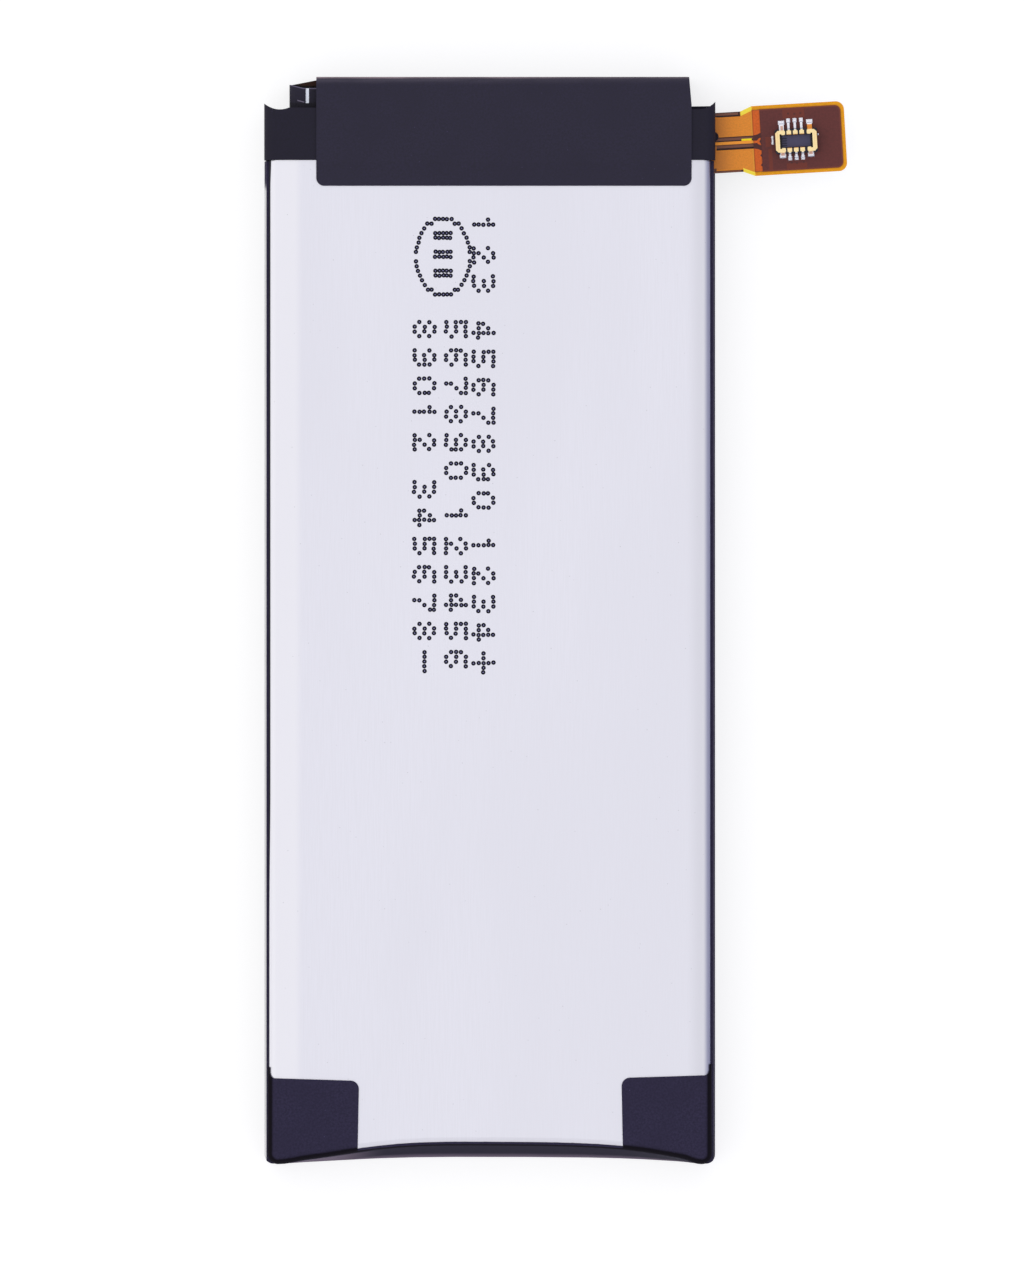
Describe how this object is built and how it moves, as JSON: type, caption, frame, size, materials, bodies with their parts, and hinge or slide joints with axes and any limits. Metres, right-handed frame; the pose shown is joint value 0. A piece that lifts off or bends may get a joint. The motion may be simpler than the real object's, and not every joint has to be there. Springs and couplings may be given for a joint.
{
  "type": "mobile phone battery",
  "caption": "Slim pouch-cell phone battery with black tape wraps and a short flat tail that ends in a board-to-board plug.",
  "frame": {"origin": "on the plane that the pack lies on, under the middle of the cell's length and width", "axes": "+Y along the pack to its terminal end, +Z out of the bare silver face, +X to the side that the flat tail leaves"},
  "size_m": [0.0316, 0.0591, 0.0035],
  "materials": {
    "laminate": "satin, with fine grain along the pack",
    "black_tape": "matte blue-black polyester tape",
    "aluminium_tab": "satin",
    "nickel": "satin nickel",
    "seal_film": "milky polymer film",
    "foam_pad": "soft foam with adhesive on both faces",
    "board_laminate": "solder mask over glass laminate",
    "chip_moulding": "moulded epoxy",
    "chip_ceramic": "fired ceramic with tinned ends",
    "amber_film": "clear amber polyimide",
    "copper": "copper seen through amber film",
    "cover_film": "dark red-brown laminated film",
    "stiffener_plate": "satin steel",
    "connector_moulding": "moulded liquid crystal polymer",
    "gold_contact": "bright gold plating",
    "solder": "bright tin"
  },
  "bodies": {
    "root": {"pouch_cell": "laminate", "positive_tab": "aluminium_tab", "negative_tab": "nickel", "positive_tab_seal": "seal_film", "negative_tab_seal": "seal_film", "positive_weld_pad": "nickel", "negative_weld_pad": "nickel", "board_mounting_pad": "foam_pad", "protection_board": "board_laminate", "power_switch_chip": "chip_moulding", "protection_chip": "chip_moulding", "sense_resistor": "chip_ceramic", "identity_resistor": "chip_ceramic", "supply_capacitor": "chip_ceramic", "bypass_capacitor": "chip_ceramic", "thermistor": "chip_ceramic", "nickel_link": "nickel", "board_sleeve": "black_tape", "top_wrap": "black_tape", "cover_tape": "black_tape", "edge_tape": "black_tape", "flex_base_film": "amber_film", "positive_copper": "copper", "negative_copper": "copper", "sense_copper": "copper", "connector_coverlay": "cover_film", "connector_stiffener": "stiffener_plate", "tail_backing_tape": "black_tape", "connector_housing": "connector_moulding", "power_contact_left": "gold_contact", "power_contact_right": "gold_contact", "solder_pads": "solder", "signal_contact_1": "gold_contact", "signal_contact_2": "gold_contact", "signal_contact_3": "gold_contact", "signal_contact_4": "gold_contact", "signal_contact_5": "gold_contact", "signal_contact_6": "gold_contact"}
  },
  "joints": []
}
